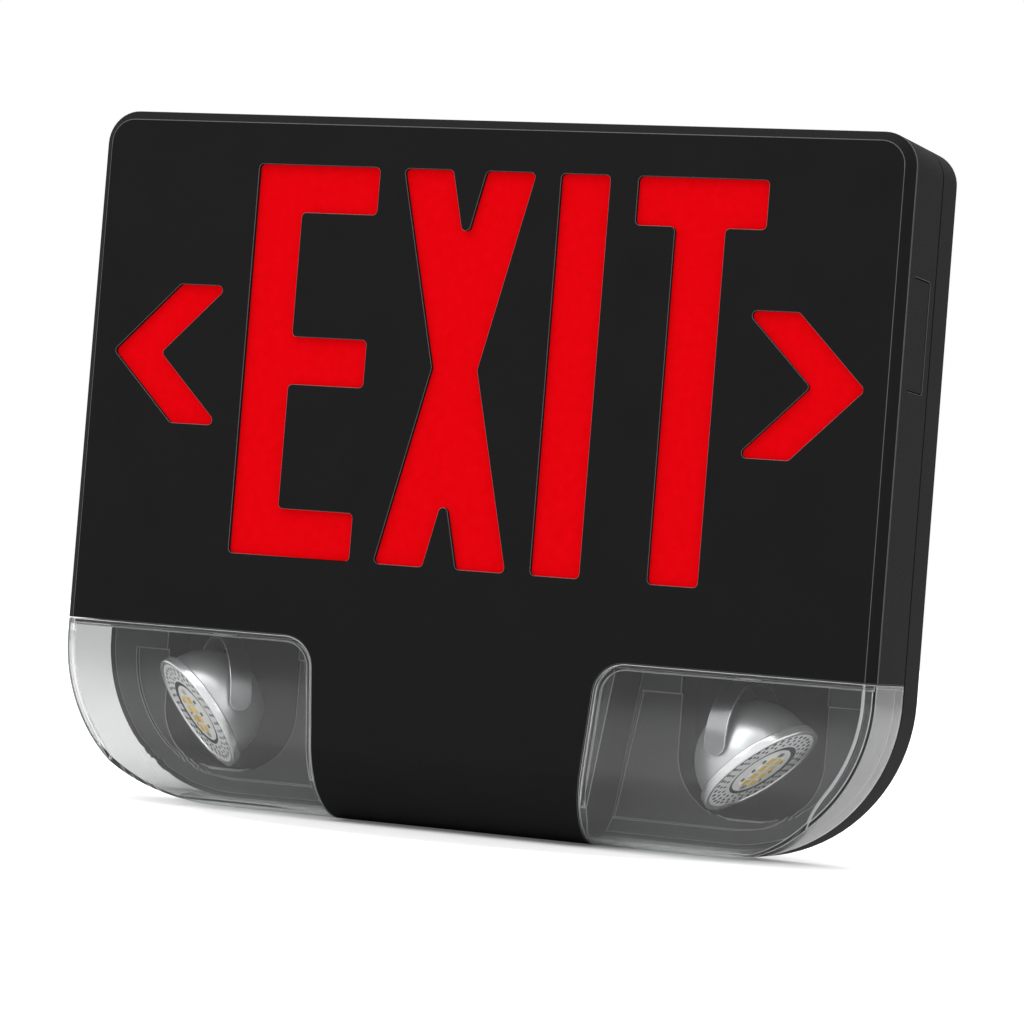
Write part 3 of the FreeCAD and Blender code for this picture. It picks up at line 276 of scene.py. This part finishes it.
# %% Metals and inner plastics
satin_metal = grained("satin_lamp_metal", (0.64, 0.65, 0.66), (0.68, 0.69, 0.70), 0.36, 200.0,
                      0.0, metallic=0.8, wander=0.05)
bright_metal = grained("bright_ring_metal", (0.80, 0.81, 0.82), (0.84, 0.84, 0.85), 0.22, 900.0,
                       0.0, metallic=0.8, wander=0.04)
face_metal = grained("pressed_face_metal", (0.84, 0.85, 0.86), (0.93, 0.93, 0.94), 0.36, 1200.0,
                     0.00002, metallic=0.15)
strap_metal = grained("strap_metal", (0.20, 0.205, 0.21), (0.24, 0.245, 0.25), 0.34, 900.0,
                      0.0, metallic=1.0, wander=0.04)
# Paler finish for the straps' rounded edges: painted highlight.
strap_edge_highlight = grained("strap_edge_metal", (0.70, 0.71, 0.72), (0.80, 0.80, 0.81), 0.25, 1600.0,
                     0.0, metallic=0.8)
zinc_metal = grained("zinc_plating", (0.55, 0.56, 0.57), (0.68, 0.68, 0.66), 0.35, 900.0,
                     0.00002, metallic=1.0)
core_metal = grained("core_laminations", (0.09, 0.09, 0.1), (0.16, 0.15, 0.15), 0.5, 500.0,
                     0.0001, metallic=0.9, stretch=(0.05, 4.0, 0.05))
white_plastic = grained("reflector_white", (0.80, 0.80, 0.78), (0.86, 0.86, 0.84), 0.5, 1200.0,
                        0.00003, specular=0.4)
board_white = grained("white_solder_mask", (0.86, 0.86, 0.84), (0.93, 0.93, 0.91), 0.4, 900.0,
                      0.00002)
board_green = grained("green_solder_mask", (0.01, 0.10, 0.03), (0.02, 0.17, 0.06), 0.35, 600.0,
                      0.00003)
phosphor = grained("yellow_phosphor", (0.80, 0.52, 0.06), (0.90, 0.66, 0.16), 0.4, 900.0, 0.00003)
coil_tape = grained("coil_tape", (0.62, 0.40, 0.06), (0.78, 0.55, 0.12), 0.4, 700.0, 0.00008,
                    stretch=(0.1, 1.0, 3.0))
battery_sleeve = grained("battery_sleeve", (0.03, 0.14, 0.36), (0.05, 0.19, 0.44), 0.28, 400.0,
                         0.00005)
relay_blue = grained("relay_case", (0.01, 0.03, 0.10), (0.02, 0.05, 0.14), 0.45, 1200.0, 0.00003)
terminal_green = grained("terminal_green", (0.02, 0.22, 0.06), (0.03, 0.30, 0.09), 0.45, 1200.0,
                         0.00003)
button_grey = grained("button_grey", (0.10, 0.10, 0.10), (0.14, 0.14, 0.14), 0.45, 1200.0,
                      0.00003)
switch_black = grained("switch_black", (0.015, 0.015, 0.015), (0.03, 0.03, 0.03), 0.4, 1200.0,
                       0.00003)
red_led = grained("red_led_lens", (0.60, 0.02, 0.015), (0.75, 0.05, 0.03), 0.2, 900.0, 0.00001)
# Near-black for the plugs in the lamp's holes and the band round its board: painted shade.
painted_shade_black = grained("hole_dark", (0.004, 0.004, 0.004), (0.008, 0.008, 0.008), 0.7, 900.0,
                     0.00002, specular=0.1)
print("metals and inner plastics made")

# %% [markdown]
# ## Finishes on the frame's own nodes
# A node whose solid already has the right shape stays and only takes its finish. The others get
# a finer piece below.

# %% Paint the nodes
NODE_FINISHES = {
    "side_cover": black_case, "legend_panel": legend_red, "light_tray": white_plastic,
    "lower_led_strip": board_white, "upper_led_strip": board_white, "legend_leds": red_led,
    "charger_board": board_green, "board_screws": zinc_metal,
    "transformer_core": core_metal, "transformer_coil": coil_tape, "relay": relay_blue,
    "terminal_block": terminal_green, "test_button": button_grey, "test_switch": switch_black,
    "switch_plunger": button_grey, "status_light": red_led, "battery_pack": battery_sleeve,
    "battery_clip": strap_metal, "clip_screws": zinc_metal,
}
SIDE_FINISHES = {
    "swivel_washer": zinc_metal, "swivel_nut": zinc_metal, "lamp_shell": satin_metal,
    "heat_sink": face_metal, "led_board": board_white,
}
for side in ("left", "right"):
    NODE_FINISHES.update({f"{side}_{piece}": m for piece, m in SIDE_FINISHES.items()})


def paint(obj, material):
    """Give an object one material."""
    obj.data.materials.clear()
    obj.data.materials.append(material)


for name, material in NODE_FINISHES.items():
    paint(nodes[name], material)
print(len(NODE_FINISHES), "nodes painted of", len(nodes))

# %% [markdown]
# ## Rounded edges
# A moulded edge is never sharp: its small rounding catches the light, and the thin pale lines
# that outline the case, the lenses, the straps and the trays come partly from that and partly
# from a paler edge finish, which is painted highlight. A solid from the frame has sharp
# edges, so a copy of its mesh is merged, and a Bevel modifier rounds what is sharper than an
# angle. Joined flat faces give cleaner bevels, but one with a wide hole in it breaks when it is
# bevelled, so in the lamp trays such faces are split again. The rounded strips get the edge
# finish: a paler one, painted highlight, on the case, lenses, straps and trays, and a darker one,
# painted shade, on the base. The trays' sideways faces get a darker copy of the tray's finish,
# painted shade. A Weighted Normal modifier keeps the flat faces level, because a clear lens
# shows every dent in its shading.

# %% Rounded copies of the case, lenses, trays and straps
EDGE_ANGLE = math.radians(28)
FLAT_ANGLE = math.radians(0.3)
MERGE_DISTANCE = 0.000002
EDGE_WIDTH = {"front_cover": 0.00018, "base_housing": 0.00030, "lens": 0.00036,
              "lamp_bracket": 0.0002, "lamp_tray": 0.0003}
TRAY_SHADE_TILT = 0.7


def merged_copy(name, split):
    """The node's mesh with its triangles merged and its flat faces joined.

    Joined faces that aren't convex are split again if asked.
    """
    mesh = nodes[name].data.copy()
    work = bmesh.new()
    work.from_mesh(mesh)
    bmesh.ops.remove_doubles(work, verts=work.verts, dist=MERGE_DISTANCE)
    bmesh.ops.dissolve_limit(work, angle_limit=FLAT_ANGLE, verts=work.verts, edges=work.edges)
    if split:
        bmesh.ops.connect_verts_concave(work, faces=work.faces)
    work.to_mesh(mesh)
    work.free()
    return mesh


def plain(obj):
    """Apply an object's modifiers, so that it is a plain mesh."""
    depsgraph = bpy.context.evaluated_depsgraph_get()
    mesh = bpy.data.meshes.new_from_object(obj.evaluated_get(depsgraph))
    obj.modifiers.clear()
    obj.data = mesh
    return obj


def rounded_copy(name, body, finish, edge_highlight_or_shade, split=False):
    """A copy of a node with rounded edges, which stands for it."""
    mesh = merged_copy(name, split)
    mesh.materials.clear()
    mesh.materials.append(finish)
    mesh.materials.append(edge_highlight_or_shade)
    for face in mesh.polygons:
        face.use_smooth = True
        face.material_index = 0
    mesh.set_sharp_from_angle(angle=EDGE_ANGLE)
    piece = bpy.data.objects.new(name + "_rounded", mesh)
    bpy.context.scene.collection.objects.link(piece)
    bevel = piece.modifiers.new("edges", "BEVEL")
    bevel.width = EDGE_WIDTH[name.removeprefix("left_").removeprefix("right_")]
    bevel.segments = 2
    bevel.limit_method = "ANGLE"
    bevel.angle_limit = EDGE_ANGLE
    bevel.use_clamp_overlap = False
    bevel.harden_normals = True
    # The bevel's strips take the second finish: painted highlight, or painted shade on the base.
    bevel.material = 1
    level = piece.modifiers.new("level", "WEIGHTED_NORMAL")
    level.mode = "FACE_AREA"
    level.weight = 100
    level.keep_sharp = True
    plain(piece)
    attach(piece, body)
    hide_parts(name)
    return piece


rounded = [
    rounded_copy("front_cover", "case", black_case, case_edge_highlight),
    rounded_copy("base_housing", "case", black_case, base_edge_shade),
]
for side in ("left", "right"):
    rounded.append(rounded_copy(side + "_lens", "case", lens_clear, lens_edge_highlight))
    rounded.append(rounded_copy(side + "_lamp_bracket", side + "_bracket",
                                strap_metal, strap_edge_highlight))
    tray = rounded_copy(side + "_lamp_tray", "case", tray_plastic, tray_edge_highlight,
                        split=True)
    # The tray's sideways faces take a darker copy of its finish: painted shade.
    tray.data.materials.append(tray_side_shade)
    for face in tray.data.polygons:
        if face.material_index == 0 and abs(face.normal.y) < TRAY_SHADE_TILT:
            face.material_index = 2
    rounded.append(tray)


def swelling(piece):
    """How far a piece reaches past the box of the node it stands for, in millimetres."""
    low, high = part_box(piece.name.removesuffix("_rounded"))
    return 1000 * max(max(low[i] - corner[i], corner[i] - high[i])
                      for corner in piece.bound_box for i in range(3))


for piece in rounded:
    print(piece.name, len(piece.data.polygons), "faces, swelled by", round(swelling(piece), 3))

# %% [markdown]
# ## Lamp heads
# Each lamp head has a bright turned ring round a pressed metal face with three rings of small
# holes, and a round board with eight yellow LED chips. All of it repeats round the lamp's axis
# or over a grid, so Geometry Nodes make it: a tree is built once with named sizes and runs once
# for each piece. The trees build in a plain frame whose +Z is the way the lamp shines, and the
# lamp's own matrix puts the result in place.

# %% Lamp frames and tree helpers
LAMP_PITCH = 0.1133
LAMP_OUT = 0.028994
LAMP_HEIGHT = -0.096094
LAMP_AIM = {"left": (-45.7, 36.6), "right": (80.6, 48.7)}
SHELL_RADIUS = 0.023494
RING_RADIUS = 0.025694
FACE_SET = 0.0122
RING_LIP = 0.0006
RING_LENGTH = 0.0038


def lamp_matrix(side):
    """From the lamp's plain frame to its place in the case."""
    pan, tilt = (math.radians(angle) for angle in LAMP_AIM[side])
    sign = -1 if side == "left" else 1
    return (Matrix.Translation((sign * LAMP_PITCH, -LAMP_OUT, LAMP_HEIGHT))
            @ Matrix.Rotation(pan, 4, "Z") @ Matrix.Rotation(tilt + math.pi / 2, 4, "X"))


def start_tree(name, **sockets):
    """A geometry tree with named inputs; returns it and the outputs of its input node."""
    tree = bpy.data.node_groups.new(name, "GeometryNodeTree")
    tree.interface.new_socket("Geometry", in_out="OUTPUT", socket_type="NodeSocketGeometry")
    for label, kind in sockets.items():
        tree.interface.new_socket(label.replace("_", " "), in_out="INPUT",
                                  socket_type="NodeSocket" + kind)
    return tree, tree.nodes.new("NodeGroupInput").outputs


def end_tree(tree, geometry, material):
    """Realize the instances, set the material and connect the output."""
    solid = add_node(tree, "GeometryNodeRealizeInstances", Geometry=geometry)
    painted = add_node(tree, "GeometryNodeSetMaterial", Geometry=solid.outputs[0],
                       Material=material)
    output = tree.nodes.new("NodeGroupOutput")
    tree.links.new(painted.outputs[0], output.inputs[0])


def run_tree(tree, name, place, **values):
    """Run a tree with these inputs and return its result as a plain mesh in place."""
    holder = bpy.data.objects.new(name, bpy.data.meshes.new(name))
    bpy.context.scene.collection.objects.link(holder)
    modifier = holder.modifiers.new("nodes", "NODES")
    modifier.node_group = tree
    for item in tree.interface.items_tree:
        if item.in_out == "INPUT":
            modifier[item.identifier] = values[item.name.replace(" ", "_")]
    plain(holder)
    holder.data.transform(place)
    return holder


print("lamp frames and tree helpers ready")

# %% [markdown]
# The ring is a rounded rectangle swept round a circle. It is turned from aluminium on the real
# lamp, so its section is all that has to be drawn.

# %% Lamp ring
ring_tree, given = start_tree("turned_ring", Radius="Float", Wall="Float", Length="Float",
                              Edge="Float", Material="Material")
middle = add_node(ring_tree, "ShaderNodeMath", {"operation": "MULTIPLY_ADD"})
ring_tree.links.new(given["Wall"], middle.inputs[0])
middle.inputs[1].default_value = -0.5
ring_tree.links.new(given["Radius"], middle.inputs[2])
path = add_node(ring_tree, "GeometryNodeCurvePrimitiveCircle", Resolution=128,
                Radius=middle.outputs[0])
section = add_node(ring_tree, "GeometryNodeCurvePrimitiveQuadrilateral", Width=given["Wall"],
                   Height=given["Length"])
soft = add_node(ring_tree, "GeometryNodeFilletCurve", {"mode": "POLY"}, Curve=section.outputs[0],
                Count=5, Radius=given["Edge"])
swept = add_node(ring_tree, "GeometryNodeCurveToMesh", Curve=path.outputs[0])
ring_tree.links.new(soft.outputs[0], swept.inputs["Profile Curve"])
end_tree(ring_tree, swept.outputs[0], given["Material"])

for side in ("left", "right"):
    lift = Matrix.Translation((0, 0, FACE_SET + RING_LIP - RING_LENGTH / 2))
    ring = run_tree(ring_tree, side + "_turned_ring", lamp_matrix(side) @ lift,
                    Radius=RING_RADIUS, Wall=RING_RADIUS - SHELL_RADIUS - 0.0001,
                    Length=RING_LENGTH, Edge=0.0007, Material=bright_metal)
    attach(ring, side + "_lamp")
    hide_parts(side + "_lamp_ring")
    print(ring.name, len(ring.data.polygons), "faces")

# %% [markdown]
# The holes in the lamp's face are real in the solid, but light that falls in them comes back
# out. On the real lamp they open into the dark shell, so each gets a dark plug, painted shade,
# set round three circles.

# %% Perforations
hole_tree, given = start_tree("ring_of_plugs", Circle="Float", Count="Int", Plug_Radius="Float",
                              Depth="Float", Material="Material")
circle = add_node(hole_tree, "GeometryNodeCurvePrimitiveCircle", Resolution=given["Count"],
                  Radius=given["Circle"])
plug = add_node(hole_tree, "GeometryNodeMeshCylinder", Vertices=16, Radius=given["Plug Radius"],
                Depth=given["Depth"])
spots = add_node(hole_tree, "GeometryNodeCurveToPoints", Curve=circle.outputs[0],
                 Count=given["Count"])
placed = add_node(hole_tree, "GeometryNodeInstanceOnPoints", Points=spots.outputs["Points"],
                  Instance=plug.outputs["Mesh"])
end_tree(hole_tree, placed.outputs[0], given["Material"])

# Each ring of holes: its distance from the shell's rim, the number of holes and their radius.
HOLE_RINGS = ((0.0021, 36, 0.00085), (0.0043, 30, 0.0007), (0.0065, 26, 0.0007))
PLUG_DEPTH = 0.0006
PLUG_RISE = 0.00004
for side in ("left", "right"):
    for number, (margin, count, radius) in enumerate(HOLE_RINGS):
        lift = Matrix.Translation((0, 0, FACE_SET + PLUG_RISE - PLUG_DEPTH / 2))
        plugs = run_tree(hole_tree, f"{side}_perforations_{number}", lamp_matrix(side) @ lift,
                         Circle=SHELL_RADIUS - margin, Count=count, Plug_Radius=radius,
                         Depth=PLUG_DEPTH, Material=painted_shade_black)
        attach(plugs, side + "_lamp")
    print(side, "perforations:", sum(count for _, count, _ in HOLE_RINGS))

# %% [markdown]
# The LED board lies off centre in its pocket, which leaves a gap like a crescent. Little light
# reaches its floor, so a dark band of painted shade fills it and just covers the pocket's rim.

# %% Gap round the LED board
BOARD_RADIUS = 0.013194
POCKET_RADIUS = 0.014694
RIM_COVER = 0.0004
BAND_SHIFT = 0.0012
BAND_GAP = 0.00002
BAND_DEPTH = 0.0011
BAND_RISE = 0.00003
GAP_STEPS = 96


def gap_shade_band(side):
    """A closed band of painted shade between the board and the wall of its pocket."""
    sign = -1 if side == "left" else 1
    corners = []
    for step in range(GAP_STEPS):
        angle = 2 * math.pi * step / GAP_STEPS
        x, y = math.cos(angle), math.sin(angle)
        for radius, shift in ((BOARD_RADIUS + BAND_GAP, 0.0),
                              (POCKET_RADIUS + RIM_COVER, sign * BAND_SHIFT)):
            for height in (FACE_SET - BAND_DEPTH, FACE_SET + BAND_RISE):
                corners.append((shift + radius * x, radius * y, height))
    faces = []
    for step in range(GAP_STEPS):
        here, there = 4 * step, 4 * ((step + 1) % GAP_STEPS)
        for a, b in ((0, 1), (1, 3), (3, 2), (2, 0)):
            faces.append((here + a, here + b, there + b, there + a))
    mesh = bpy.data.meshes.new(side + "_board_gap")
    mesh.from_pydata(corners, [], faces)
    work = bmesh.new()
    work.from_mesh(mesh)
    bmesh.ops.recalc_face_normals(work, faces=work.faces)
    work.to_mesh(mesh)
    work.free()
    mesh.transform(lamp_matrix(side))
    mesh.materials.append(painted_shade_black)
    band = bpy.data.objects.new(side + "_board_gap", mesh)
    bpy.context.scene.collection.objects.link(band)
    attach(band, side + "_lamp")
    return band


print([len(gap_shade_band(side).data.polygons) for side in ("left", "right")], "faces in the gaps")

# %% [markdown]
# The chips are white packages with a yellow phosphor window, in a grid of two by four. One tree
# sets blocks on a grid: it makes the packages, the windows, and the small dark and pale parts
# beside them.

# %% LED chips and small parts on the board
grid_tree, given = start_tree("grid_of_blocks", Columns="Int", Rows="Int", Width="Float",
                              Height="Float", Block="Vector", Material="Material")
spots = add_node(grid_tree, "GeometryNodeMeshGrid", Size_X=given["Width"],
                 Size_Y=given["Height"], Vertices_X=given["Columns"], Vertices_Y=given["Rows"])
block = add_node(grid_tree, "GeometryNodeMeshCube", Size=given["Block"])
placed = add_node(grid_tree, "GeometryNodeInstanceOnPoints", Points=spots.outputs["Mesh"],
                  Instance=block.outputs["Mesh"])
end_tree(grid_tree, placed.outputs[0], given["Material"])

BOARD_RISE = 0.0002
BOARD_FACE = FACE_SET + BOARD_RISE
CHIP_PITCH = (0.0062, 0.0046)
PACKAGE = (0.0050, 0.0038, 0.0006)
WINDOW = (0.0042, 0.0031, 0.0008)
RESISTOR_PITCH = (0.0136, 0.0058)
RESISTOR = (0.0008, 0.0016, 0.0005)
PAD_PITCH = (0.0, 0.0206)
PAD = (0.0030, 0.0022, 0.0004)
MARK = (0.0008, 0.0034, 0.0007)
MARK_DROP = -0.0022
blue_mark = grained("blue_part", (0.02, 0.07, 0.22), (0.03, 0.10, 0.30), 0.4, 900.0, 0.00001)


def blocks(side, name, columns, rows, pitch, block, finish, y=0.0):
    """A grid of blocks on the lamp's board, riding with the lamp."""
    lift = Matrix.Translation((0.0, y, BOARD_FACE + block[2] / 2))
    piece = run_tree(grid_tree, f"{side}_{name}", lamp_matrix(side) @ lift, Columns=columns,
                     Rows=rows, Width=(columns - 1) * pitch[0], Height=(rows - 1) * pitch[1],
                     Block=block, Material=finish)
    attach(piece, side + "_lamp")
    return piece


for side in ("left", "right"):
    packages = blocks(side, "chip_packages", 2, 4, CHIP_PITCH, PACKAGE, white_plastic)
    windows = blocks(side, "chip_windows", 2, 4, CHIP_PITCH, WINDOW, phosphor)
    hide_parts(side + "_led_chips")
    blocks(side, "resistors", 2, 3, RESISTOR_PITCH, RESISTOR, switch_black)
    blocks(side, "pads", 1, 2, PAD_PITCH, PAD, zinc_metal)
    blocks(side, "mark", 1, 1, (0.0, 0.0), MARK, blue_mark if side == "left" else white_plastic,
           MARK_DROP)
    print(side, "chips:", len(packages.data.polygons) // 6)

# %% [markdown]
# ## Floor, background and light
# The sign stands on a white floor in front of a white background. Near the sign the floor is lit
# by the lamps alone, so it keeps a soft shadow, and farther off it glows for the camera, so that
# it meets the background without a horizon. The surroundings are paler above and behind than in
# front, which keeps the glossy faces dark and gives the metal its contrast.

# %% Floor, background and light
FLOOR_REACH = 12.0
SHADOW_CENTRE = (0.0, -0.03, 0.0)
SHADOW_SCALE = (6.6, 10.0, 0.0)
SHADOW_REACH = (0.72, 1.3)
FLOOR_GLOW = (0.10, 0.85)
WORLD_FRONT = 0.26
WORLD_BACK = 0.80
WORLD_SLOPE = (0.0, 0.30, 0.95)
FLOOR_DROP = 0.0004


def make_floor():
    mesh = bpy.data.meshes.new("floor")
    height = case_low.z - FLOOR_DROP
    mesh.from_pydata([(-FLOOR_REACH, -FLOOR_REACH, height), (FLOOR_REACH, -FLOOR_REACH, height),
                      (FLOOR_REACH, FLOOR_REACH, height), (-FLOOR_REACH, FLOOR_REACH, height)],
                     [], [(0, 1, 2, 3)])
    floor = bpy.data.objects.new("floor", mesh)
    bpy.context.scene.collection.objects.link(floor)
    material, tree, shader = start_material("floor_white", (0.8, 0.8, 0.8), 0.9, specular=0.0)
    place = add_node(tree, "ShaderNodeTexCoord").outputs["Object"]
    centred = add_node(tree, "ShaderNodeVectorMath", {"operation": "SUBTRACT"})
    tree.links.new(place, centred.inputs[0])
    centred.inputs[1].default_value = SHADOW_CENTRE
    scaled = add_node(tree, "ShaderNodeVectorMath", {"operation": "MULTIPLY"})
    tree.links.new(centred.outputs[0], scaled.inputs[0])
    scaled.inputs[1].default_value = SHADOW_SCALE
    distance = add_node(tree, "ShaderNodeVectorMath", {"operation": "LENGTH"})
    tree.links.new(scaled.outputs[0], distance.inputs[0])
    glow = spread(tree, distance.outputs["Value"], *FLOOR_GLOW, *SHADOW_REACH)
    seen = add_node(tree, "ShaderNodeMath", {"operation": "MULTIPLY"})
    tree.links.new(glow, seen.inputs[0])
    path = add_node(tree, "ShaderNodeLightPath")
    tree.links.new(path.outputs["Is Camera Ray"], seen.inputs[1])
    shader.inputs["Emission Color"].default_value = (1.0, 1.0, 1.0, 1.0)
    tree.links.new(seen.outputs[0], shader.inputs["Emission Strength"])
    mesh.materials.append(material)
    return floor


def make_world():
    world = bpy.data.worlds.new("studio")
    bpy.context.scene.world = world
    world.use_nodes = True
    tree = world.node_tree
    dim = tree.nodes["Background"]
    dim.inputs["Color"].default_value = (1.0, 1.0, 1.0, 1.0)
    direction = add_node(tree, "ShaderNodeTexCoord").outputs["Generated"]
    slope = add_node(tree, "ShaderNodeVectorMath", {"operation": "DOT_PRODUCT"})
    tree.links.new(direction, slope.inputs[0])
    slope.inputs[1].default_value = WORLD_SLOPE
    tree.links.new(spread(tree, slope.outputs["Value"], WORLD_FRONT, WORLD_BACK, -0.5, 0.7),
                   dim.inputs["Strength"])
    white = add_node(tree, "ShaderNodeBackground", Strength=1.0)
    white.inputs["Color"].default_value = (1.0, 1.0, 1.0, 1.0)
    path = add_node(tree, "ShaderNodeLightPath")
    seen = add_node(tree, "ShaderNodeMath", {"operation": "MAXIMUM"})
    tree.links.new(path.outputs["Is Camera Ray"], seen.inputs[0])
    tree.links.new(path.outputs["Is Transmission Ray"], seen.inputs[1])
    choice = add_node(tree, "ShaderNodeMixShader")
    tree.links.new(seen.outputs[0], choice.inputs["Fac"])
    tree.links.new(dim.outputs["Background"], choice.inputs[1])
    tree.links.new(white.outputs["Background"], choice.inputs[2])
    tree.links.new(choice.outputs["Shader"], tree.nodes["World Output"].inputs["Surface"])


def add_lamp(name, place, target, size, power):
    """A square soft light that faces a target."""
    data = bpy.data.lights.new(name, "AREA")
    data.shape = "SQUARE"
    data.size = size
    data.energy = power
    lamp = bpy.data.objects.new(name, data)
    bpy.context.scene.collection.objects.link(lamp)
    lamp.location = place
    direction = Vector(target) - Vector(place)
    lamp.rotation_mode = "QUATERNION"
    lamp.rotation_quaternion = direction.to_track_quat("-Z", "Y")
    return lamp


floor = make_floor()
make_world()
add_lamp("key_light", (-0.9, -1.6, 1.5), (0.0, -0.03, 0.0), 1.6, 18.0)
add_lamp("right_light", (1.9, -0.6, 0.7), (0.1, -0.03, 0.0), 1.2, 5.0)
add_lamp("top_light", (0.1, -0.4, 1.9), (0.0, -0.03, 0.0), 2.0, 22.0)
bpy.context.scene.view_settings.view_transform = "Standard"
print("floor, world and three lights made")
